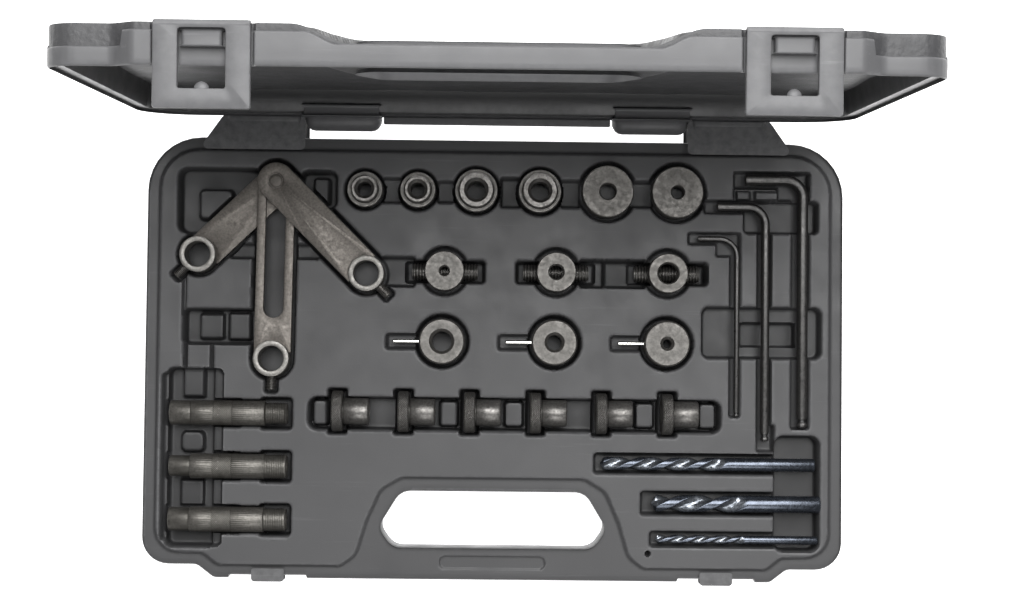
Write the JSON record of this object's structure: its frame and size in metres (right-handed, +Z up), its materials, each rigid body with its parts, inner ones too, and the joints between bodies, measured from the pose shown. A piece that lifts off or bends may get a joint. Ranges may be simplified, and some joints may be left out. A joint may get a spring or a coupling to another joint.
{
  "type": "cased stud drilling jig set",
  "caption": "Open carrying case with a drilling jig set: a three-armed jig, guide bushes, sleeves, ball-end hex keys and twist drills in a moulded tray.",
  "frame": {"origin": "centre of the case's underside, as it lies open on its back", "axes": "+Z up out of the tray, +Y towards the hinge and the standing lid, +X to the right along the case's length"},
  "size_m": [0.35, 0.2538, 0.2639],
  "materials": {
    "case_plastic": "satin, fine moulded grain",
    "jig_steel": "blackened, slightly worn",
    "blackened_steel": "black oxide",
    "key_steel": "black oxide",
    "drill_steel": "steam tempered, bright lands",
    "pin_steel": "bright ground"
  },
  "bodies": {
    "case": {"case_base": "case_plastic", "case_tray": "case_plastic", "tray_land_front": "case_plastic", "tray_land_left": "case_plastic", "tray_land_front_left": "case_plastic", "hinge_pin_left": "pin_steel", "hinge_pin_right": "pin_steel"},
    "lid": {"case_lid": "case_plastic"},
    "latch_left": {"latch_left": "case_plastic"},
    "latch_right": {"latch_right": "case_plastic"},
    "jig_left_arm": {"arm_left": "jig_steel"},
    "jig_pin": {"pivot_pin": "blackened_steel"},
    "jig_slotted_arm": {"arm_slotted": "jig_steel"},
    "jig_right_arm": {"arm_right": "jig_steel"},
    "screw_left": {"set_screw_left": "blackened_steel"},
    "screw_right": {"set_screw_right": "blackened_steel"},
    "screw_slotted": {"set_screw_slotted": "blackened_steel"},
    "hex_bush_1": {"hex_bush_1": "blackened_steel"},
    "hex_bush_2": {"hex_bush_2": "blackened_steel"},
    "hex_bush_3": {"hex_bush_3": "blackened_steel"},
    "hex_bush_4": {"hex_bush_4": "blackened_steel"},
    "centring_disc_1": {"centring_disc_1": "blackened_steel"},
    "centring_disc_2": {"centring_disc_2": "blackened_steel"},
    "threaded_stud_1": {"threaded_stud_1": "blackened_steel"},
    "guide_disc_1": {"guide_disc_1": "blackened_steel"},
    "threaded_stud_2": {"threaded_stud_2": "blackened_steel"},
    "guide_disc_2": {"guide_disc_2": "blackened_steel"},
    "threaded_stud_3": {"threaded_stud_3": "blackened_steel"},
    "guide_disc_3": {"guide_disc_3": "blackened_steel"},
    "pin_bush_1": {"pin_bush_1": "blackened_steel", "bush_pin_1": "pin_steel"},
    "pin_bush_2": {"pin_bush_2": "blackened_steel", "bush_pin_2": "pin_steel"},
    "pin_bush_3": {"pin_bush_3": "blackened_steel", "bush_pin_3": "pin_steel"},
    "knurled_bush_1": {"knurled_bush_1": "blackened_steel"},
    "knurled_bush_2": {"knurled_bush_2": "blackened_steel"},
    "knurled_bush_3": {"knurled_bush_3": "blackened_steel"},
    "knurled_bush_4": {"knurled_bush_4": "blackened_steel"},
    "knurled_bush_5": {"knurled_bush_5": "blackened_steel"},
    "knurled_bush_6": {"knurled_bush_6": "blackened_steel"},
    "guide_sleeve_1": {"guide_sleeve_1": "blackened_steel"},
    "guide_sleeve_2": {"guide_sleeve_2": "blackened_steel"},
    "guide_sleeve_3": {"guide_sleeve_3": "blackened_steel"},
    "hex_key_1": {"hex_key_1": "key_steel"},
    "hex_key_2": {"hex_key_2": "key_steel"},
    "hex_key_3": {"hex_key_3": "key_steel"},
    "twist_drill_1": {"twist_drill_1": "drill_steel"},
    "twist_drill_2": {"twist_drill_2": "drill_steel"},
    "twist_drill_3": {"twist_drill_3": "drill_steel"}
  },
  "joints": [
    {"name": "lid_hinge", "type": "hinge", "parent": "case", "child": "lid", "pos_m": [0, 0.1202, 0.03], "axis": [-1, 0, 0], "range_deg": [-87, 0]},
    {"name": "latch_left_turn", "type": "hinge", "parent": "lid", "child": "latch_left", "pos_m": [-0.112, 0.12386, 0.26211], "axis": [-1, 0, 0], "range_deg": [0, 100]},
    {"name": "latch_right_turn", "type": "hinge", "parent": "lid", "child": "latch_right", "pos_m": [0.112, 0.12386, 0.26211], "axis": [-1, 0, 0], "range_deg": [0, 100]},
    {"name": "jig_left_arm_lift", "type": "slide", "parent": "case", "child": "jig_left_arm", "axis": [0, 0, 1], "range_m": [0, 0.04]},
    {"name": "jig_slotted_turn", "type": "hinge", "parent": "jig_left_arm", "child": "jig_pin", "pos_m": [-0.1105, 0.0885, 0.025], "axis": [0, 0, 1], "range_deg": [-0.4, 0.4]},
    {"name": "jig_slotted_slide", "type": "slide", "parent": "jig_pin", "child": "jig_slotted_arm", "axis": [-0.0122, -0.9999, 0], "range_m": [-0.0009, 0.0009]},
    {"name": "jig_right_turn", "type": "hinge", "parent": "jig_left_arm", "child": "jig_right_arm", "pos_m": [-0.1105, 0.0885, 0.031], "axis": [0, 0, 1], "range_deg": [-0.5, 0.5]},
    {"name": "screw_left_advance", "type": "slide", "parent": "jig_left_arm", "child": "screw_left", "axis": [0.7193, 0.6947, 0], "range_m": [0, 0.0025]},
    {"name": "screw_right_advance", "type": "slide", "parent": "jig_right_arm", "child": "screw_right", "axis": [-0.7071, 0.7071, 0], "range_m": [0, 0.0025]},
    {"name": "screw_slotted_advance", "type": "slide", "parent": "jig_slotted_arm", "child": "screw_slotted", "axis": [0.0122, 0.9999, 0], "range_m": [0, 0.0025]},
    {"name": "hex_bush_1_lift", "type": "slide", "parent": "case", "child": "hex_bush_1", "axis": [0, 0, 1], "range_m": [0, 0.04]},
    {"name": "hex_bush_2_lift", "type": "slide", "parent": "case", "child": "hex_bush_2", "axis": [0, 0, 1], "range_m": [0, 0.04]},
    {"name": "hex_bush_3_lift", "type": "slide", "parent": "case", "child": "hex_bush_3", "axis": [0, 0, 1], "range_m": [0, 0.04]},
    {"name": "hex_bush_4_lift", "type": "slide", "parent": "case", "child": "hex_bush_4", "axis": [0, 0, 1], "range_m": [0, 0.04]},
    {"name": "centring_disc_1_lift", "type": "slide", "parent": "case", "child": "centring_disc_1", "axis": [0, 0, 1], "range_m": [0, 0.04]},
    {"name": "centring_disc_2_lift", "type": "slide", "parent": "case", "child": "centring_disc_2", "axis": [0, 0, 1], "range_m": [0, 0.04]},
    {"name": "threaded_stud_1_lift", "type": "slide", "parent": "case", "child": "threaded_stud_1", "axis": [0, 0, 1], "range_m": [0, 0.04]},
    {"name": "guide_disc_1_lift", "type": "slide", "parent": "threaded_stud_1", "child": "guide_disc_1", "axis": [0, 0, 1], "range_m": [0, 0.04]},
    {"name": "threaded_stud_2_lift", "type": "slide", "parent": "case", "child": "threaded_stud_2", "axis": [0, 0, 1], "range_m": [0, 0.04]},
    {"name": "guide_disc_2_lift", "type": "slide", "parent": "threaded_stud_2", "child": "guide_disc_2", "axis": [0, 0, 1], "range_m": [0, 0.04]},
    {"name": "threaded_stud_3_lift", "type": "slide", "parent": "case", "child": "threaded_stud_3", "axis": [0, 0, 1], "range_m": [0, 0.04]},
    {"name": "guide_disc_3_lift", "type": "slide", "parent": "threaded_stud_3", "child": "guide_disc_3", "axis": [0, 0, 1], "range_m": [0, 0.04]},
    {"name": "pin_bush_1_lift", "type": "slide", "parent": "case", "child": "pin_bush_1", "axis": [0, 0, 1], "range_m": [0, 0.04]},
    {"name": "pin_bush_2_lift", "type": "slide", "parent": "case", "child": "pin_bush_2", "axis": [0, 0, 1], "range_m": [0, 0.04]},
    {"name": "pin_bush_3_lift", "type": "slide", "parent": "case", "child": "pin_bush_3", "axis": [0, 0, 1], "range_m": [0, 0.04]},
    {"name": "knurled_bush_1_lift", "type": "slide", "parent": "case", "child": "knurled_bush_1", "axis": [0, 0, 1], "range_m": [0, 0.04]},
    {"name": "knurled_bush_2_lift", "type": "slide", "parent": "case", "child": "knurled_bush_2", "axis": [0, 0, 1], "range_m": [0, 0.04]},
    {"name": "knurled_bush_3_lift", "type": "slide", "parent": "case", "child": "knurled_bush_3", "axis": [0, 0, 1], "range_m": [0, 0.04]},
    {"name": "knurled_bush_4_lift", "type": "slide", "parent": "case", "child": "knurled_bush_4", "axis": [0, 0, 1], "range_m": [0, 0.04]},
    {"name": "knurled_bush_5_lift", "type": "slide", "parent": "case", "child": "knurled_bush_5", "axis": [0, 0, 1], "range_m": [0, 0.04]},
    {"name": "knurled_bush_6_lift", "type": "slide", "parent": "case", "child": "knurled_bush_6", "axis": [0, 0, 1], "range_m": [0, 0.04]},
    {"name": "guide_sleeve_1_lift", "type": "slide", "parent": "case", "child": "guide_sleeve_1", "axis": [0, 0, 1], "range_m": [0, 0.04]},
    {"name": "guide_sleeve_2_lift", "type": "slide", "parent": "case", "child": "guide_sleeve_2", "axis": [0, 0, 1], "range_m": [0, 0.04]},
    {"name": "guide_sleeve_3_lift", "type": "slide", "parent": "case", "child": "guide_sleeve_3", "axis": [0, 0, 1], "range_m": [0, 0.04]},
    {"name": "hex_key_1_lift", "type": "slide", "parent": "case", "child": "hex_key_1", "axis": [0, 0, 1], "range_m": [0, 0.04]},
    {"name": "hex_key_2_lift", "type": "slide", "parent": "case", "child": "hex_key_2", "axis": [0, 0, 1], "range_m": [0, 0.04]},
    {"name": "hex_key_3_lift", "type": "slide", "parent": "case", "child": "hex_key_3", "axis": [0, 0, 1], "range_m": [0, 0.04]},
    {"name": "twist_drill_1_lift", "type": "slide", "parent": "case", "child": "twist_drill_1", "axis": [0, 0, 1], "range_m": [0, 0.04]},
    {"name": "twist_drill_2_lift", "type": "slide", "parent": "case", "child": "twist_drill_2", "axis": [0, 0, 1], "range_m": [0, 0.04]},
    {"name": "twist_drill_3_lift", "type": "slide", "parent": "case", "child": "twist_drill_3", "axis": [0, 0, 1], "range_m": [0, 0.04]}
  ]
}
